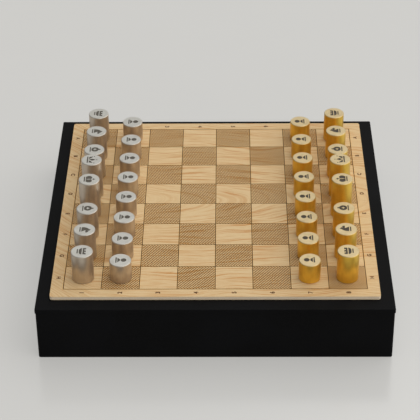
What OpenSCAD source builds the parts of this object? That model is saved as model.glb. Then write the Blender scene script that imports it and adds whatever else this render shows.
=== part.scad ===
// A metal chess set: thirty-two turned men with engraved tops, an engraved plywood
// board and the black presentation case that the board is shown on.
// Millimetres, +Z up. The origin is the middle of the case's underside. Ranks run
// along +X from the silver side to the brass side, and files run along -Y.

/* [Board] */
// Side of one square
square_side = 34.5; // [30:0.5:45]
// Plain margin round the squares
board_margin = 11.5; // [8:0.5:20]
// Thickness of the plywood
board_t = 3.5; // [3:0.1:8]
// Radius of the board's corners
board_corner_r = 2.5; // [0.5:0.5:6]
// How far the board lies behind the middle of the lid
board_setback = 2.5; // [0:0.5:6]

/* [Engraving on the board] */
// Depth of every engraved line
engraving_d = 0.3; // [0.1:0.05:0.8]
// Width of the lines between the squares
grid_line_w = 0.7; // [0.3:0.05:1.2]
// Hatching lines that cross each side of a dark square
hatch_count = 13; // [6:1:16]
// Width of a hatching line, measured square to it
hatch_line_w = 0.8; // [0.3:0.05:1]
// Land left between a hatching line's end and the grid line
hatch_land = 0.25; // [0.15:0.05:0.6]

/* [Men] */
// Diameter of every man
man_d = 20; // [17:0.5:26]
// Height of a pawn
pawn_h = 20; // [15:1:30]
// Height of a rook, knight or bishop
officer_h = 30; // [22:1:38]
// Height of a king or queen
royal_h = 40; // [30:1:50]
// Chamfer turned on both ends
man_chamfer = 0.5; // [0.2:0.1:1]

/* [Figures on the men] */
// Width of the field that a figure is drawn in
figure_w = 12; // [8:0.5:12.5]
// Depth of the engraved figure
figure_d = 0.25; // [0.1:0.05:0.6]

/* [Case] */
// Outside height of the tray
tray_h = 51; // [44:0.5:80]
// Thickness of the tray's walls
wall_t = 4; // [2.5:0.5:6]
// Thickness of the tray's floor
floor_t = 4; // [2.5:0.5:6]
// Radius of the tray's upright corners
tray_corner_r = 2; // [1.5:0.25:5]
// Rounding of the wrapped outer edges
case_edge_r = 0.6; // [0.3:0.1:1.2]
// Radius of the tray's inside corners and of what drops into them
tray_inner_r = 1; // [0.5:0.25:3]
// Thickness of the lid's cover board
lid_t = 4; // [3:0.5:6]
// How far the lid stands out past the tray on each side
lid_overhang = 0.5; // [0:0.1:2]
// Radius of the lid's upright corners
lid_corner_r = 1.25; // [1.25:0.25:5]
// Thickness of the panel that locates the lid in the tray
locator_t = 3; // [2:0.5:5]
// Gap between the locating panel and the tray on each side
locator_clearance = 0.5; // [0.3:0.1:1]
// Room left round the board when it is stored in the tray
board_stow_gap = 8; // [2:0.5:15]

/* [Foam insert] */
// Gap between the foam and the tray on each side
foam_clearance = 0.3; // [0.2:0.1:1]
// How far a stored man stands above the foam
grip_h = 6; // [3:0.5:9]
// Spare width of a trough round a lying man
trough_side_play = 0.6; // [0.3:0.1:2]
// Spare length of a trough past its row of men
trough_end_play = 2; // [1:0.5:6]
// Distance between the middles of neighbouring troughs
trough_spacing = 62; // [45:1:66]
// Air left above the board when everything is stored
stow_clearance = 1.5; // [0.5:0.25:4]

/* [Hidden] */
$fn = 64;
SQUARES = 8;
TROUGHS = 4;
PAWNS_PER_TROUGH = 4;
OFFICERS_PER_TROUGH = 3;
ROYALS_PER_TROUGH = 1;
FIGURE_FIELD = 12;
CUT = 1;
FILE_NAMES = ["a", "b", "c", "d", "e", "f", "g", "h"];
BACK_ROW = ["rook", "knight", "bishop", "queen", "king", "bishop", "knight", "rook"];

// One row for each side: its name, the ranks of its officers and of its pawns, and
// the turn that sets its figures upright for the player across the board
SIDES = [["silver", 0, 1, -90], ["brass", 7, 6, 90]];

grid_side = SQUARES * square_side;
board_side = grid_side + 2 * board_margin;
tray_inner = board_side + 2 * board_stow_gap;
tray_side = tray_inner + 2 * wall_t;
lid_side = tray_side + 2 * lid_overhang;
locator_side = tray_inner - 2 * locator_clearance;
board_z = tray_h + lid_t;
playing_z = board_z + board_t;

trough_d = man_d - grip_h;
trough_w = man_d + trough_side_play;
trough_row = PAWNS_PER_TROUGH * pawn_h + OFFICERS_PER_TROUGH * officer_h + ROYALS_PER_TROUGH * royal_h;
trough_len = trough_row + trough_end_play;
foam_side = tray_inner - 2 * foam_clearance;
foam_h = tray_h - floor_t - locator_t - stow_clearance - board_t - grip_h;

hatch_field = square_side - grid_line_w - 2 * hatch_land;
hatch_pitch = square_side / hatch_count;
// Half the width of a hatching line, measured along the side of a square
hatch_half = hatch_line_w / sqrt(2);

function is_royal(kind) = kind == "king" || kind == "queen";
function man_height(kind) = kind == "pawn" ? pawn_h : is_royal(kind) ? royal_h : officer_h;
function man_name(side, kind, file) =
  is_royal(kind) ? str(side, "_", kind) : str(side, "_", kind, "_", FILE_NAMES[file]);

// Every man as [node name, side name, kind, rank, file, turn of its figure]
MEN = [
  for (side = SIDES, row = [0, 1], file = [0 : SQUARES - 1])
    let (kind = row == 0 ? BACK_ROW[file] : "pawn")
      [man_name(side[0], kind, file), side[0], kind, side[1 + row], file, side[3]]
];

// Shapes shared by the pieces

module rounded_square(side, r) {
  square([side, side - 2 * r], center = true);
  square([side - 2 * r, side], center = true);
  for (x = [-1, 1], y = [-1, 1])
    translate([x, y] * (side / 2 - r))
      circle(r);
}

// Section through a panel whose two upper edges are rounded
module soft_section(width, t, edge_r) {
  translate([-width / 2, 0])
    square([width, t - edge_r]);
  translate([edge_r - width / 2, 0])
    square([width - 2 * edge_r, t]);
  for (x = [-1, 1])
    translate([x * (width / 2 - edge_r), t - edge_r])
      circle(edge_r);
}

// Square block with rounded upright corners and a rounded upper edge
module soft_block(side, t, corner_r, edge_r) {
  for (turn = [0, 90])
    rotate([90, 0, turn])
      linear_extrude(side - 2 * corner_r, center = true)
        soft_section(side, t, edge_r);
  for (x = [-1, 1], y = [-1, 1])
    translate([x * (side / 2 - corner_r), y * (side / 2 - corner_r), 0])
      rotate_extrude()
        intersection() {
          soft_section(2 * corner_r, t, edge_r);
          square([corner_r, t]);
        }
}

// Case

module case_tray() {
  color("#141416")
    difference() {
      translate([0, 0, tray_h])
        mirror([0, 0, 1])
          soft_block(tray_side, tray_h, tray_corner_r, case_edge_r);
      translate([0, 0, floor_t])
        linear_extrude(tray_h)
          rounded_square(tray_inner, tray_inner_r);
    }
}

// Foam block with four troughs, two for the men of each side, laid end to end
module foam_insert() {
  color("#2b2b2e")
    translate([0, 0, floor_t])
      difference() {
        linear_extrude(foam_h)
          rounded_square(foam_side, tray_inner_r);
        for (i = [0 : TROUGHS - 1])
          translate([(i - (TROUGHS - 1) / 2) * trough_spacing, 0, foam_h - trough_d])
            linear_extrude(trough_d + CUT)
              square([trough_w, trough_len], center = true);
      }
}

module case_lid() {
  color("#1c1d21")
    translate([0, 0, tray_h])
      soft_block(lid_side, lid_t, lid_corner_r, case_edge_r);
}

module lid_locating_panel() {
  color("#26272b")
    translate([0, 0, tray_h - locator_t])
      linear_extrude(locator_t)
        rounded_square(locator_side, tray_inner_r);
}

// Board

// A dark square's hatching: bands at 45 degrees, each cut off square to the grid
module hatching(field) {
  h = field / 2;
  for (k = [1 - hatch_count : hatch_count - 1]) {
    near = abs(k) * hatch_pitch - hatch_half - h;
    far = abs(k) * hatch_pitch + hatch_half - h;
    if (k == 0)
      for (turn = [0, 180])
        rotate(turn)
          polygon([[h, -h], [h, far], [far, h], [-h, h]]);
    else if (far < h)
      rotate(k > 0 ? 0 : 180)
        polygon([[h, near], [h, far], [far, h], [near, h]]);
  }
}

module grid_lines() {
  for (i = [0 : SQUARES], turn = [0, 90])
    rotate(turn)
      translate([(i - SQUARES / 2) * square_side, 0])
        square([grid_line_w, grid_side + grid_line_w], center = true);
}

module board() {
  color("#d9b988")
    translate([0, board_setback, board_z]) {
      linear_extrude(board_t - engraving_d)
        rounded_square(board_side, board_corner_r);
      translate([0, 0, board_t - engraving_d])
        linear_extrude(engraving_d)
          difference() {
            rounded_square(board_side, board_corner_r);
            grid_lines();
            for (rank = [0 : SQUARES - 1], file = [0 : SQUARES - 1])
              if ((rank + file) % 2 == 0)
                translate(square_centre(rank, file))
                  hatching(hatch_field);
          }
    }
}

// The middle of a square on the board, with file a at the back
function square_centre(rank, file) =
  [(rank - (SQUARES - 1) / 2) * square_side, ((SQUARES - 1) / 2 - file) * square_side];

// Figures, drawn upright round the middle of a top that is FIGURE_FIELD wide inside

module bar(half_width, top, height) {
  translate([-half_width, top - height])
    square([2 * half_width, height]);
}

module mirrored() {
  children();
  mirror([1, 0])
    children();
}

module pawn_figure() {
  translate([0, 3])
    circle(2.6);
  difference() {
    polygon([[-3.5, -2.6], [3.5, -2.6], [1.2, -0.3], [-1.2, -0.3]]);
    mirrored()
      translate([3.9, 0])
        circle(2.2);
  }
  bar(4, -3.2, 1.2);
}

module rook_figure() {
  difference() {
    polygon([[-5, 3.8], [5, 3.8], [4.7, 0.8], [-4.7, 0.8]]);
    mirrored()
      translate([1.1, 2.3])
        square([1.5, 2]);
  }
  intersection() {
    bar(5, 0, 2.7);
    translate([0, 4.2])
      circle(7.2);
    polygon([[-5, 0], [5, 0], [3.6, -2.7], [-3.6, -2.7]]);
  }
  bar(3.3, -3.5, 1.1);
}

module bishop_figure() {
  difference() {
    intersection() {
      translate([0, 0.7])
        circle(3.9);
      bar(4, 5, 7.8);
    }
    for (arm = [[0.8, 3], [3, 0.8]])
      translate([0, 0.7])
        square(arm, center = true);
  }
  translate([0, 5.3])
    circle(1);
  bar(0.5, 5, 0.8);
  bar(4.2, -3.4, 1.1);
}

module knight_figure() {
  difference() {
    union() {
      intersection() {
        translate([3.4, -1.4])
          circle(6.8);
        polygon([[-3.6, -2.7], [3.6, -2.7], [1.2, 1.2], [2.2, 4.6], [-0.4, 5.8], [-3.6, 4]]);
      }
      polygon([[0.4, 6.2], [1.6, 5], [4.9, 2.6], [5.2, 1.5], [4.3, 0.8], [1.2, 1.2], [-0.4, 4.4]]);
    }
    translate([4.2, -0.6])
      circle(1.7);
    translate([1.9, 3.6])
      circle(0.4);
  }
  bar(3.5, -3.5, 1.1);
}

module queen_figure() {
  polygon([[0, 4], [1.8, 0.6], [0, -2.4], [-1.8, 0.6]]);
  mirrored() {
    polygon([[5.9, 1.6], [2.9, -0.4], [1, -2.4], [4.9, -2.4]]);
    translate([5.8, 2.7])
      circle(0.6);
  }
  translate([0, 5.1])
    circle(0.6);
  bar(5.4, -3.2, 1.2);
}

module king_figure() {
  difference() {
    union() {
      mirrored()
        translate([2.7, 0])
          circle(2.9);
      polygon([[-5.4, -1], [5.4, -1], [4.1, -3.1], [-4.1, -3.1]]);
    }
    polygon([[0, 2.2], [0.5, 0.4], [0.25, -2.4], [-0.25, -2.4], [-0.5, 0.4]]);
  }
  bar(0.45, 5.8, 3.3);
  bar(1.4, 4.8, 0.9);
  bar(4.1, -3.8, 1.2);
}

module figure(kind) {
  scale(figure_w / FIGURE_FIELD) {
    if (kind == "pawn") pawn_figure();
    if (kind == "rook") rook_figure();
    if (kind == "bishop") bishop_figure();
    if (kind == "knight") knight_figure();
    if (kind == "queen") queen_figure();
    if (kind == "king") king_figure();
  }
}

// Men

// Bar turned to length with a chamfer on both ends
module turned_blank(h) {
  r = man_d / 2;
  c = man_chamfer;
  rotate_extrude()
    polygon([[0, 0], [r - c, 0], [r, c], [r, h - c], [r - c, h], [0, h]]);
}

module man(side, kind, rank, file, turn) {
  h = man_height(kind);
  place = square_centre(rank, file);
  translate([place.x, place.y + board_setback, playing_z])
    difference() {
      color(side == "silver" ? "#c6c6c4" : "#c69a3d")
        turned_blank(h);
      color("#2a2622")
        translate([0, 0, h - figure_d])
          linear_extrude(figure_d + CUT)
            rotate(turn)
              figure(kind);
    }
}

case_tray();
foam_insert();
case_lid();
lid_locating_panel();
board();
for (m = MEN)
  man(m[1], m[2], m[3], m[4], m[5]);
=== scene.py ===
"""Finishes, light and camera for the metal chess set: satin men with filled figures, a burnt
plywood board with its letters and numbers, and the paper-wrapped case under it.

Lengths in the materials are millimetres on Object coordinates, and everything else is metres.
"""

import math

import bmesh
import bpy
from mathutils import Matrix, Vector


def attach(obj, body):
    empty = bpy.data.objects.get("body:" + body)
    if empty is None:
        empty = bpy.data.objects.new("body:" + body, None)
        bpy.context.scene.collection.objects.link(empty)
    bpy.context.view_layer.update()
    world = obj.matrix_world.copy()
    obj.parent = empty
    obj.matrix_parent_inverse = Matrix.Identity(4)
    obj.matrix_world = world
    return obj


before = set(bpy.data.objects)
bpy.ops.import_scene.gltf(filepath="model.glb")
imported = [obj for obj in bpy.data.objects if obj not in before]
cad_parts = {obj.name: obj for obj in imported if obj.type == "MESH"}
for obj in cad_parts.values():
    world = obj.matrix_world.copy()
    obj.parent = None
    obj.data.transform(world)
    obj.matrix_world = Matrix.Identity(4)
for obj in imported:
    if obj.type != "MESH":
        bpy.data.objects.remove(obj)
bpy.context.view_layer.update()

MM = 0.001

# Sizes of the part, in millimetres. The board's middle lies BOARD_Y behind the case's.
SQUARE = 34.5
SQUARES = 8
BOARD_Y = 2.5
BOARD_T = 3.5
OUTER_PLY_T = 0.66
PLAYING_Z = 58.5
ENGRAVING_D = 0.3
GRID_LINE_W = 0.7
HATCH_PITCH = SQUARE / 13
HATCH_LINE_W = 0.8
FIGURE_D = 0.25
FIGURE_REACH = 8.9
MAN_HEIGHTS = {"pawn": 20.0, "officer": 30.0, "royal": 40.0}
ROYALS = ("king", "queen")


def rgb(red, green, blue):
    """A colour given in 0-255 screen values, as the linear values that a shader takes."""
    linear = []
    for value in (red, green, blue):
        share = value / 255
        linear.append(share / 12.92 if share <= 0.04045 else ((share + 0.055) / 1.055) ** 2.4)
    return (*linear, 1.0)


# ---------------------------------------------------------------- node building blocks


def add_node(tree, kind, inputs=None, **settings):
    """A new node. Each input is given a plain value, or the output that feeds it."""
    made = tree.nodes.new(kind)
    for name, value in settings.items():
        setattr(made, name, value)
    for key, value in (inputs or {}).items():
        if isinstance(value, bpy.types.NodeSocket):
            tree.links.new(value, made.inputs[key])
        else:
            made.inputs[key].default_value = value
    return made


class Finish:
    """A material being made. Most methods add a node and give back its output."""

    def __init__(self, name):
        self.material = bpy.data.materials.new(name)
        self.material.use_nodes = True
        self.tree = self.material.node_tree
        self.tree.nodes.clear()

    def node(self, kind, inputs=None, **settings):
        return add_node(self.tree, kind, inputs, **settings)

    def calc(self, operation, *values):
        return self.node("ShaderNodeMath", dict(enumerate(values)), operation=operation).outputs[0]

    def plus(self, first, second):
        return self.calc("ADD", first, second)

    def minus(self, first, second):
        return self.calc("SUBTRACT", first, second)

    def times(self, first, second):
        return self.calc("MULTIPLY", first, second)

    def span(self, value, low, high, start=0.0, end=1.0):
        """start where value is at low, end where it is at high, smooth between and level beyond."""
        limits = {"Value": value, "From Min": low, "From Max": high, "To Min": start, "To Max": end}
        return self.node("ShaderNodeMapRange", limits, interpolation_type="SMOOTHSTEP").outputs[0]

    def place(self):
        """x, y and z in millimetres."""
        coordinates = self.node("ShaderNodeTexCoord").outputs["Object"]
        scaled = self.node("ShaderNodeVectorMath", {0: coordinates, "Scale": 1 / MM}, operation="SCALE")
        return self.node("ShaderNodeSeparateXYZ", {0: scaled.outputs[0]}).outputs

    def place_on_board(self):
        """x and y from the board's middle, and z, in millimetres."""
        x, y, z = self.place()
        return x, self.minus(y, BOARD_Y), z

    def square(self, x, y):
        """Column and row of the square, counted from the board's middle."""
        return [self.calc("FLOOR", self.calc("DIVIDE", value, SQUARE)) for value in (x, y)]

    def upward(self):
        """1 on a face that looks up, 0 on a wall and -1 on a face that looks down."""
        normal = self.node("ShaderNodeNewGeometry").outputs["True Normal"]
        return self.node("ShaderNodeSeparateXYZ", {0: normal}).outputs["Z"]

    def vector(self, x=0.0, y=0.0, z=0.0):
        return self.node("ShaderNodeCombineXYZ", {0: x, 1: y, 2: z}).outputs[0]

    def noise(self, vector, detail=2.0, roughness=0.5, scale=1.0):
        inputs = {"Vector": vector, "Scale": scale, "Detail": detail, "Roughness": roughness}
        return self.node("ShaderNodeTexNoise", inputs).outputs[0]

    def cells(self, vector, scale, feature="F1"):
        """Distance from the middle of the nearest of many small cells."""
        inputs = {"Vector": vector, "Scale": scale, "Randomness": 1.0}
        return self.node("ShaderNodeTexVoronoi", inputs, feature=feature).outputs[0]

    def mix(self, share, first, second, blend="MIX"):
        """The first colour where share is 0 and the second where it is 1."""
        inputs = {0: share, 6: first, 7: second}
        return self.node("ShaderNodeMix", inputs, data_type="RGBA", blend_type=blend).outputs[2]

    def blend(self, share, first, second):
        """The same for plain numbers."""
        return self.node("ShaderNodeMix", {0: share, 2: first, 3: second}, data_type="FLOAT").outputs[0]

    def bump(self, height, distance, strength=1.0):
        inputs = {"Height": height, "Distance": distance * MM, "Strength": strength}
        return self.node("ShaderNodeBump", inputs).outputs[0]

    def done(self, **sockets):
        """Ends the material in a Principled shader. An underscore in a name stands for a space."""
        inputs = {name.replace("_", " "): value for name, value in sockets.items()}
        shader = self.node("ShaderNodeBsdfPrincipled", inputs)
        self.node("ShaderNodeOutputMaterial", {"Surface": shader.outputs[0]})
        return self.material


# ---------------------------------------------------------------- board

EARLY_WOOD, LATE_WOOD = rgb(209, 181, 137), rgb(182, 122, 54)
DARK_FIBRE = rgb(170, 124, 72)
PALE_FIBRE = rgb(216, 194, 158)
FACE_PLY, CORE_PLY = rgb(250, 226, 186), rgb(252, 232, 206)
END_GRAIN = rgb(208, 182, 156)
GLUE = rgb(150, 116, 86)
SMOKED_EARLY, SMOKED_LATE = rgb(232, 172, 72), rgb(206, 144, 48)
CHAR_EARLY, CHAR_LATE = rgb(84, 36, 3), rgb(40, 17, 2)
CHAR_IN_GRID = rgb(30, 15, 5)
CHAR_AT_CROSSING = rgb(10, 5, 2)

RING_CENTRE_X, HEART_Y = -205.0, 4.0  # Where the arches of the growth rings spread from
ARCH_STRETCH = 0.16
RING_DRIFT = 32.0
LEAN_FROM_X, LEAN = -112.0, 0.85  # Left of that x, the grain slopes by that much
SMOKE_REACH = 0.5


def growth_rings(f, x, y):
    """Long arches that point to +X, and a slope at the left edge.

    Gives the share of late wood, the fibres, and the distance across the grain.
    """
    drift = f.noise(f.vector(f.times(x, 0.012), f.times(y, 0.02), 4.0), detail=1.5)
    drift = f.times(f.minus(drift, 0.5), RING_DRIFT)
    lean = f.times(f.calc("MAXIMUM", f.minus(LEAN_FROM_X, x), 0.0), LEAN)
    across = f.minus(f.plus(f.minus(y, HEART_Y), drift), lean)
    along = f.times(f.minus(x, RING_CENTRE_X), ARCH_STRETCH)
    ring = f.calc("SQRT", f.plus(f.calc("POWER", across, 2.0), f.calc("POWER", along, 2.0)))
    bands = f.noise(f.vector(f.times(ring, 0.22), f.times(x, 0.004), 2.0), detail=2.0, roughness=0.6)
    streaks = f.noise(f.vector(f.times(x, 0.016), f.times(ring, 0.72), 5.0), detail=4.0, roughness=0.64)
    fibres = f.noise(f.vector(f.times(x, 0.1), f.times(across, 3.6), 7.0), detail=2.0, roughness=0.6)
    late = f.times(f.span(streaks, 0.47, 0.64), f.span(bands, 0.3, 0.62, 0.45, 1.0))
    slant = f.calc("DIVIDE", f.calc("ABSOLUTE", across), ring)
    late = f.times(late, f.span(slant, 0.05, 0.5, 0.45, 1.0))
    return late, fibres, across


def cut_edge(f, x, y, z, depth):
    """Three plies at the board's edge, with the middle one across the others."""
    under_face = f.span(depth, OUTER_PLY_T - 0.04, OUTER_PLY_T + 0.04)
    inner_side = BOARD_T - OUTER_PLY_T
    core = f.times(under_face, f.span(depth, inner_side + 0.04, inner_side - 0.04))
    from_middle = f.calc("ABSOLUTE", f.minus(depth, BOARD_T / 2))
    from_glue = f.calc("ABSOLUTE", f.minus(from_middle, BOARD_T / 2 - OUTER_PLY_T))
    place = f.vector(f.times(x, 2.2), f.times(y, 2.2), f.times(z, 1.6))
    end_grain = f.noise(place, detail=3.0)
    ply = f.mix(core, FACE_PLY, CORE_PLY)
    ply = f.mix(f.span(end_grain, 0.42, 0.75, end=0.5), ply, END_GRAIN)
    return f.mix(f.span(from_glue, 0.12, 0.03, end=0.4), ply, GLUE)


def to_line(f, value, pitch):
    """Distance from the middle of the nearest of the lines that stand a pitch apart."""
    share = f.calc("FRACT", f.plus(f.calc("DIVIDE", value, pitch), 0.5))
    return f.times(f.calc("ABSOLUTE", f.minus(share, 0.5)), pitch)


def burnt(f, x, y, depth, wood, late):
    """Smoke beside the engraved lines and char in them, darkest where two lines meet.

    Gives the new colour, and a share that is 1 in the engraving and 0 elsewhere.
    """
    half_grid = SQUARE * SQUARES / 2
    reach = f.calc("MAXIMUM", f.calc("ABSOLUTE", x), f.calc("ABSOLUTE", y))
    inside = f.span(reach, half_grid + 1.2, half_grid + 0.6)
    grid = f.calc("MINIMUM", to_line(f, x, SQUARE), to_line(f, y, SQUARE))
    hatch = f.calc("DIVIDE", to_line(f, f.plus(x, y), HATCH_PITCH), math.sqrt(2))
    dark_square = f.calc("FLOORED_MODULO", f.plus(*f.square(x, y)), 2.0)
    near_hatch = f.times(dark_square, f.span(hatch, HATCH_LINE_W / 2 + SMOKE_REACH, HATCH_LINE_W / 2))
    smoke = f.calc("MAXIMUM", f.span(grid, GRID_LINE_W / 2 + SMOKE_REACH, GRID_LINE_W / 2), near_hatch)
    on_face = f.times(inside, f.span(depth, ENGRAVING_D + 0.1, ENGRAVING_D + 0.05))
    smoked = f.times(f.times(smoke, on_face), f.blend(late, 0.4, 0.62))
    wood = f.mix(smoked, wood, f.mix(late, SMOKED_EARLY, SMOKED_LATE))

    cut = f.times(on_face, f.span(depth, 0.02, 0.05))
    char = f.mix(late, CHAR_EARLY, CHAR_LATE)
    on_grid = f.span(grid, GRID_LINE_W / 2 + 0.15, GRID_LINE_W / 2)
    twice = f.times(on_grid, f.span(hatch, HATCH_LINE_W / 2 + 0.3, HATCH_LINE_W / 2 + 0.1))
    char = f.mix(f.times(on_grid, 0.9), char, CHAR_IN_GRID)
    char = f.mix(f.times(twice, 0.95), char, CHAR_AT_CROSSING)
    return f.mix(cut, wood, char), cut


def plywood():
    """Pale softwood veneer with its grain along X, burnt engraving and three plies at the edge."""
    f = Finish("engraved_plywood")
    x, y, z = f.place_on_board()
    depth = f.minus(PLAYING_Z, z)
    late, fibres, across = growth_rings(f, x, y)
    wood = f.mix(late, EARLY_WOOD, LATE_WOOD)
    wood = f.mix(f.span(fibres, 0.5, 0.78, end=0.5), wood, DARK_FIBRE)
    wood = f.mix(f.span(fibres, 0.5, 0.24, end=0.3), wood, PALE_FIBRE)
    edge = f.span(f.calc("ABSOLUTE", f.upward()), 0.6, 0.3)
    wood = f.mix(edge, wood, cut_edge(f, x, y, z, depth))
    colour, cut = burnt(f, x, y, depth, wood, late)

    pores = f.noise(f.vector(f.times(x, 0.35), f.times(across, 7.0), 1.0), detail=2.0)
    height = f.plus(f.times(pores, 0.5), f.times(fibres, 0.5))
    return f.done(
        Base_Color=colour,
        Roughness=f.plus(f.times(cut, 0.25), f.span(pores, 0.3, 0.8, 0.52, 0.68)),
        Specular_IOR_Level=0.25,
        Normal=f.bump(height, 0.05, 0.6),
    )


def burnt_mark():
    """The letters and numbers in the margin."""
    f = Finish("burnt_mark")
    x, y, _ = f.place()
    grain = f.noise(f.vector(f.times(x, 0.5), f.times(y, 3.0)), detail=2.0)
    brown = f.mix(f.span(grain, 0.3, 0.7), rgb(100, 58, 20), rgb(50, 26, 8))
    return f.done(Base_Color=brown, Roughness=0.8, Specular_IOR_Level=0.2, Normal=f.bump(grain, 0.05))


# ---------------------------------------------------------------- men

DRAWN_SPREAD = 0.7
DULL_SKIN = 0.15  # Share of a drawn side that is dulled by oxide
TOP_ROUGHNESS = 0.45
FILLER_ROUGHNESS = 0.55
LACQUER_ROUGHNESS = 0.4

# Each top colour is paler and less saturated than its own side colour, a painted highlight on the tops;
# silver's side colour also carries a brown tint, a painted reflection of the board
METALS = {
    "silver": {
        "side": rgb(204, 190, 172), "top": rgb(216, 214, 207), "filler": rgb(76, 70, 60),
        "satin": 0.34, "lacquer": 0.0,
    },
    "brass": {
        "side": rgb(240, 197, 78), "top": rgb(231, 209, 163), "filler": rgb(50, 36, 12),
        "satin": 0.36, "lacquer": 0.2,
    },
}


def drawn_metal(name, height, side, top, filler, satin, lacquer):
    """Satin drawn bar, with its marks along the sides, a turned top and a filled figure."""
    f = Finish(name)
    x, y, z = f.place_on_board()
    upward = f.upward()

    def from_middle(value):
        share = f.calc("FRACT", f.calc("DIVIDE", value, SQUARE))
        return f.times(f.minus(share, 0.5), SQUARE)

    # Place on the man, and a number that gives each man marks of its own
    u, v = from_middle(x), from_middle(y)
    radius = f.calc("SQRT", f.plus(f.times(u, u), f.times(v, v)))
    column, row = f.square(x, y)
    man = f.plus(f.times(column, 3.7), f.times(row, 11.3))

    on_top = f.span(upward, 0.8, 0.95)
    on_chamfer = f.times(f.span(upward, 0.3, 0.5), f.minus(1.0, on_top))
    depth = f.minus(PLAYING_Z + height, z)
    in_figure = f.times(f.span(depth, 0.01, 0.03), f.span(depth, FIGURE_D + 0.2, FIGURE_D + 0.1))
    in_figure = f.times(f.span(radius, FIGURE_REACH, FIGURE_REACH - 0.3), in_figure)

    drawn = f.vector(f.times(u, 2.2), f.times(v, 2.2), f.plus(man, f.times(z, 0.04)))
    draw_marks = f.noise(drawn, detail=3.0, roughness=0.7)
    end_marks = f.noise(f.vector(f.times(radius, 3.0), 0.5, man), detail=3.0, roughness=0.7)
    marks = f.blend(on_top, draw_marks, end_marks)
    held = f.vector(f.times(u, 0.12), f.times(v, 0.12), f.plus(man, f.times(z, 0.1)))
    handling = f.noise(held, detail=3.0, roughness=0.55)

    # Side colour on the walls and the paler top colour on the top, which paints in the tops' highlight
    metal = f.mix(f.span(upward, 0.3, 0.95), side, top)
    # Painted shade: the chamfer round the top is darkened, to tone down the highlight it catches
    metal = f.mix(f.times(on_chamfer, 0.3), metal, rgb(70, 60, 48), blend="MULTIPLY")
    metal = f.mix(f.span(handling, 0.42, 0.75, end=0.14), metal, rgb(120, 96, 72), blend="MULTIPLY")
    metal = f.mix(f.span(marks, 0.35, 0.7, end=0.08), metal, rgb(90, 80, 70), blend="MULTIPLY")
    around = f.vector(f.blend(on_top, f.times(v, -1.0), 1.0), f.blend(on_top, u, 0.0))
    rough = f.plus(f.span(handling, 0.3, 0.8, -0.03, 0.06), f.blend(on_top, satin, TOP_ROUGHNESS))
    return f.done(
        Base_Color=f.mix(in_figure, metal, filler),
        Metallic=f.times(f.blend(on_top, 1.0 - DULL_SKIN, 1.0), f.minus(1.0, in_figure)),
        Roughness=f.blend(in_figure, rough, FILLER_ROUGHNESS),
        Anisotropic=DRAWN_SPREAD,
        Tangent=around,
        Coat_Weight=lacquer,
        Coat_Roughness=LACQUER_ROUGHNESS,
        Normal=f.bump(marks, 0.008, 0.4),
    )


# ---------------------------------------------------------------- case


def wrapping_paper():
    """Matt black paper with a fine embossed grain, glued round rigid board."""
    f = Finish("black_wrapping_paper")
    place = f.vector(*f.place())
    pebbles = f.cells(place, 1.1, feature="SMOOTH_F1")
    fibre = f.noise(place, detail=4.0, roughness=0.7, scale=0.8)
    cloud = f.noise(place, detail=2.0, scale=0.02)
    black = f.mix(f.span(fibre, 0.42, 0.78), rgb(5, 5, 6), rgb(17, 17, 18))
    black = f.mix(f.span(cloud, 0.35, 0.7, end=0.4), black, rgb(13, 14, 17))
    return f.done(
        Base_Color=black,
        Roughness=f.span(fibre, 0.3, 0.7, 0.5, 0.68),
        Specular_IOR_Level=0.06,
        Normal=f.bump(f.plus(pebbles, f.times(fibre, 0.6)), 0.12, 0.5),
    )


def lining_paper():
    """Smooth black paper on the panel under the lid."""
    f = Finish("black_lining_paper")
    x, y, z = f.place()
    fibre = f.noise(f.vector(f.times(x, 0.8), f.times(y, 1.6), z), detail=4.0, roughness=0.65)
    black = f.mix(f.span(fibre, 0.35, 0.7), rgb(22, 22, 24), rgb(38, 38, 42))
    return f.done(Base_Color=black, Roughness=0.85, Specular_IOR_Level=0.2, Normal=f.bump(fibre, 0.03, 0.5))


def cut_foam():
    """Black closed-cell foam with its cells cut open."""
    f = Finish("black_foam")
    place = f.vector(*f.place())
    cells = f.cells(place, 1.6)
    cloud = f.noise(place, detail=2.0, scale=0.05)
    # Painted shade: the open cells are darker in their hollows and lighter towards their rims, under a random
    # cloud
    lit = f.times(f.span(cells, 0.1, 0.55), f.span(cloud, 0.2, 0.8, 0.6, 1.0))
    black = f.mix(lit, rgb(14, 14, 15), rgb(58, 58, 62))
    return f.done(Base_Color=black, Roughness=0.95, Specular_IOR_Level=0.15, Normal=f.bump(cells, 0.3, 0.7))


# ---------------------------------------------------------------- margin characters

LETTER_H, NUMBER_H = 3.5, 3.9
CHARACTER_T = 0.04
STROKE_GROWTH = 0.26
FROM_GRID = 5.4
CAPITAL_SHARE = 0.684  # Height of a capital of Blender's own font, for a size of 1
WELD = 1e-7
UP = (0.0, 0.0, 1.0)


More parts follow.
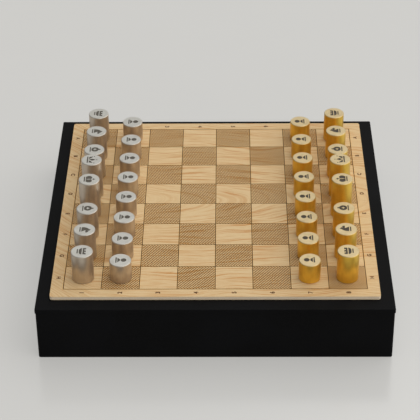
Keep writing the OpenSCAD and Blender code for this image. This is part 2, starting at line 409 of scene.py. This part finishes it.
def margin_row():
    """Geometry Nodes tree: one row of characters, each in the middle of its step and turned alike."""
    tree = bpy.data.node_groups.new("margin_row", "GeometryNodeTree")
    for name, kind in (
        ("Characters", "String"), ("Middle", "Vector"), ("Step", "Vector"), ("Turn", "Float"),
        ("Height", "Float"), ("Growth", "Float"), ("Thickness", "Float"), ("Material", "Material"),
    ):
        tree.interface.new_socket(name, in_out="INPUT", socket_type="NodeSocket" + kind)
    tree.interface.new_socket("Geometry", in_out="OUTPUT", socket_type="NodeSocketGeometry")
    given = tree.nodes.new("NodeGroupInput").outputs

    def first_output(kind, inputs=None, **settings):
        return add_node(tree, kind, inputs, **settings).outputs[0]

    size = first_output("ShaderNodeMath", {0: given["Height"], 1: CAPITAL_SHARE}, operation="DIVIDE")
    text = {"String": given["Characters"], "Size": size}
    letters = add_node(tree, "GeometryNodeStringToCurves", text, pivot_mode="MIDPOINT").outputs

    # Each character's place: its own middle goes to the middle of its step
    index = first_output("GeometryNodeInputIndex")
    steps = first_output("ShaderNodeMath", {0: index, 1: (SQUARES - 1) / 2}, operation="SUBTRACT")
    offset = first_output("ShaderNodeVectorMath", {0: given["Step"], "Scale": steps}, operation="SCALE")
    place = first_output("ShaderNodeVectorMath", {0: given["Middle"], 1: offset}, operation="ADD")
    turn = first_output("ShaderNodeCombineXYZ", {2: given["Turn"]})
    back = first_output("ShaderNodeVectorMath", {0: letters["Pivot Point"], "Scale": -1.0}, operation="SCALE")
    outer = first_output("FunctionNodeCombineTransform", {"Translation": place, "Rotation": turn})
    inner = first_output("FunctionNodeCombineTransform", {"Translation": back})
    whole = first_output("FunctionNodeMatrixMultiply", {0: outer, 1: inner})
    placed = {"Instances": letters["Curve Instances"], "Transform": whole}
    set_out = first_output("GeometryNodeSetInstanceTransform", placed)

    # Bolder strokes: every outline moves outwards
    outlines = first_output("GeometryNodeRealizeInstances", {0: set_out})
    outlines = first_output("GeometryNodeResampleCurve", {"Curve": outlines}, mode="EVALUATED")
    tangent = first_output("GeometryNodeInputTangent")
    outwards = first_output("ShaderNodeVectorMath", {0: tangent, 1: UP}, operation="CROSS_PRODUCT")
    shift = first_output("ShaderNodeVectorMath", {0: outwards, "Scale": given["Growth"]}, operation="SCALE")
    outlines = first_output("GeometryNodeSetPosition", {"Geometry": outlines, "Offset": shift})

    # A thin closed body: the raised face and walls, and the same outline facing down
    flat = first_output("GeometryNodeFillCurve", {0: outlines})
    lift = first_output("ShaderNodeVectorMath", {0: given["Middle"], 1: UP}, operation="MULTIPLY")
    flat = first_output("GeometryNodeTransform", {"Geometry": flat, "Translation": lift})
    rise = {"Mesh": flat, "Offset Scale": given["Thickness"], "Individual": False}
    raised = first_output("GeometryNodeExtrudeMesh", rise)
    under = first_output("GeometryNodeFlipFaces", {"Mesh": flat})
    joined = add_node(tree, "GeometryNodeJoinGeometry")
    tree.links.new(raised, joined.inputs[0])
    tree.links.new(under, joined.inputs[0])
    closed = first_output("GeometryNodeMergeByDistance", {"Geometry": joined.outputs[0], "Distance": WELD})
    single = first_output("GeometryNodeRealizeInstances", {0: closed})
    finished = first_output("GeometryNodeSetMaterial", {"Geometry": single, "Material": given["Material"]})
    add_node(tree, "NodeGroupOutput", {0: finished})
    return tree


def margin_characters():
    """Letters down both sides, upright for each player, and numbers along the front and the back."""
    tree = margin_row()
    names = {item.name: item.identifier for item in tree.interface.items_tree if item.in_out == "INPUT"}
    finish = burnt_mark()
    out = SQUARES / 2 * SQUARE + FROM_GRID
    quarter = math.radians(90)
    # Each row: its characters and their height, its middle on the board, its step from one
    # character to the next, and how far a character is turned
    rows = (
        ("ABCDEFGH", LETTER_H, (-out, 0), (0, -SQUARE), -quarter),
        ("ABCDEFGH", LETTER_H, (out, 0), (0, -SQUARE), quarter),
        ("12345678", NUMBER_H, (0, -out), (SQUARE, 0), quarter),
        ("12345678", NUMBER_H, (0, out), (SQUARE, 0), -quarter),
    )
    whole = bmesh.new()
    for characters, height, middle, step, turn in rows:
        holder = bpy.data.objects.new("margin_row", bpy.data.meshes.new("margin_row"))
        bpy.context.scene.collection.objects.link(holder)
        modifier = holder.modifiers.new("margin_row", "NODES")
        modifier.node_group = tree
        values = {
            "Characters": characters,
            "Middle": Vector((middle[0], middle[1] + BOARD_Y, PLAYING_Z - CHARACTER_T / 4)) * MM,
            "Step": Vector((*step, 0)) * MM,
            "Turn": turn,
            "Height": height * MM,
            "Growth": STROKE_GROWTH * MM,
            "Thickness": CHARACTER_T * MM,
            "Material": finish,
        }
        for name, value in values.items():
            modifier[names[name]] = value
        seen = holder.evaluated_get(bpy.context.evaluated_depsgraph_get())
        row_mesh = bpy.data.meshes.new_from_object(seen)
        whole.from_mesh(row_mesh)
        bpy.data.objects.remove(holder)
        bpy.data.meshes.remove(row_mesh)
    mesh = bpy.data.meshes.new("margin_characters")
    whole.to_mesh(mesh)
    whole.free()
    mesh.materials.append(finish)
    piece = bpy.data.objects.new("margin_characters", mesh)
    bpy.context.scene.collection.objects.link(piece)
    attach(piece, "board")


# ---------------------------------------------------------------- stage, light and camera

FLOOR_HALF = 12.0
FLOOR_GLOW = 0.6  # Share of the floor's colour that no shadow darkens
FLOOR_GLOSS = 0.1
FLOOR_ROUGHNESS = 0.2
SURROUND_LEFT, SURROUND_RIGHT = 0.3, 0.9
KEY_ENERGY = 1.6
KEY_SPREAD = 90  # Degrees across, seen from the board
KEY_AZIMUTH, KEY_ELEVATION = 75, 60  # Degrees, from +Y towards +X and up from the table
LENS, SENSOR_W = 140.7, 36.0
CAMERA_YAW, CAMERA_PITCH, CAMERA_ROLL = -0.757, 34.411, -0.538  # Degrees
CAMERA_TARGET = (-5.62, -11.28)  # From the board's middle, on its top
CAMERA_DISTANCE = 1592.9


def floor():
    """A pale matt table top that runs to the horizon, with part of its colour kept out of the shadow."""
    f = Finish("pale_table")
    cloud = f.noise(f.vector(*f.place()), detail=3.0, scale=0.01)
    pale = f.mix(cloud, rgb(206, 205, 202), rgb(208, 207, 204))
    matt = f.node("ShaderNodeBsdfDiffuse", {"Color": pale}).outputs[0]
    glow = f.node("ShaderNodeEmission", {"Color": pale, "Strength": 1.0}).outputs[0]
    rays = f.node("ShaderNodeLightPath").outputs
    seen = f.calc("MAXIMUM", rays["Is Camera Ray"], rays["Is Glossy Ray"])
    seen = f.calc("MAXIMUM", seen, rays["Is Transmission Ray"])
    mixed = f.node("ShaderNodeMixShader", {0: f.times(seen, FLOOR_GLOW), 1: matt, 2: glow}).outputs[0]
    sheen = f.node("ShaderNodeBsdfGlossy", {"Roughness": FLOOR_ROUGHNESS}).outputs[0]
    mixed = f.node("ShaderNodeMixShader", {0: FLOOR_GLOSS, 1: mixed, 2: sheen}).outputs[0]
    f.node("ShaderNodeOutputMaterial", {"Surface": mixed})
    mesh = bpy.data.meshes.new("floor")
    corners = [(FLOOR_HALF * i, FLOOR_HALF * j, 0) for i, j in ((-1, -1), (1, -1), (1, 1), (-1, 1))]
    mesh.from_pydata(corners, [], [(0, 1, 2, 3)])
    mesh.materials.append(f.material)
    made = bpy.data.objects.new("floor", mesh)
    bpy.context.scene.collection.objects.link(made)


def direction(azimuth, elevation):
    """Unit vector at these angles in radians: from +Y towards +X, and up."""
    level = math.cos(elevation)
    return Vector((math.sin(azimuth) * level, math.cos(azimuth) * level, math.sin(elevation)))


def studio_light():
    """A pale surround, brighter on the right, and a broad soft key from the right."""
    world = bpy.data.worlds.new("studio")
    bpy.context.scene.world = world
    world.use_nodes = True
    tree = world.node_tree
    towards = add_node(tree, "ShaderNodeTexCoord").outputs["Generated"]
    axes = add_node(tree, "ShaderNodeSeparateXYZ", {0: towards}).outputs
    limits = {
        "Value": axes[0], "From Min": -1.0, "From Max": 1.0,
        "To Min": SURROUND_LEFT, "To Max": SURROUND_RIGHT,
    }
    level = add_node(tree, "ShaderNodeMapRange", limits, interpolation_type="SMOOTHSTEP")
    background = tree.nodes["Background"]
    background.inputs["Color"].default_value = rgb(255, 255, 253)
    tree.links.new(level.outputs[0], background.inputs["Strength"])
    key = bpy.data.lights.new("key", "SUN")
    key.energy = KEY_ENERGY
    key.angle = math.radians(KEY_SPREAD)
    key.color = (1.0, 0.99, 0.97)
    lamp = bpy.data.objects.new("key", key)
    shines_from = direction(math.radians(KEY_AZIMUTH), math.radians(KEY_ELEVATION))
    lamp.rotation_euler = shines_from.to_track_quat("Z", "Y").to_euler()
    bpy.context.scene.collection.objects.link(lamp)


def camera():
    """The photograph's view: a long lens from the front, 34 degrees above the board."""
    lens = bpy.data.cameras.new("camera")
    lens.sensor_width = SENSOR_W
    lens.lens = LENS
    lens.clip_start, lens.clip_end = 0.1, 60.0
    made = bpy.data.objects.new("camera", lens)
    forward = direction(math.radians(CAMERA_YAW), -math.radians(CAMERA_PITCH))
    target = Vector((CAMERA_TARGET[0], CAMERA_TARGET[1] + BOARD_Y, PLAYING_Z)) * MM
    roll = math.radians(CAMERA_ROLL)
    turn = forward.to_track_quat("-Z", "Y").to_matrix().to_4x4() @ Matrix.Rotation(roll, 4, "Z")
    made.matrix_world = Matrix.Translation(target - forward * CAMERA_DISTANCE * MM) @ turn
    bpy.context.scene.collection.objects.link(made)
    bpy.context.scene.camera = made


# ---------------------------------------------------------------- put together


def rank_of(node_name):
    """pawn, officer or royal, from a man's name such as brass_queen or silver_pawn_a."""
    kind = node_name.split("_")[1]
    if kind == "pawn":
        return "pawn"
    return "royal" if kind in ROYALS else "officer"


def dress_parts():
    """Gives every solid of the part its finish."""
    board_finish = plywood()
    wrap = wrapping_paper()
    finishes = {
        "board": board_finish,
        "case_tray": wrap,
        "case_lid": wrap,
        "lid_locating_panel": lining_paper(),
        "foam_insert": cut_foam(),
    }
    for metal_name, look in METALS.items():
        by_rank = {}
        for rank, height in MAN_HEIGHTS.items():
            by_rank[rank] = drawn_metal(f"{metal_name}_{rank}", height, **look)
        for node_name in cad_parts:
            if node_name.startswith(metal_name):
                finishes[node_name] = by_rank[rank_of(node_name)]
    for node_name, finish in finishes.items():
        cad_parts[node_name].data.materials[0] = finish


dress_parts()
margin_characters()
floor()
studio_light()
camera()
bpy.context.scene.view_settings.view_transform = "Standard"
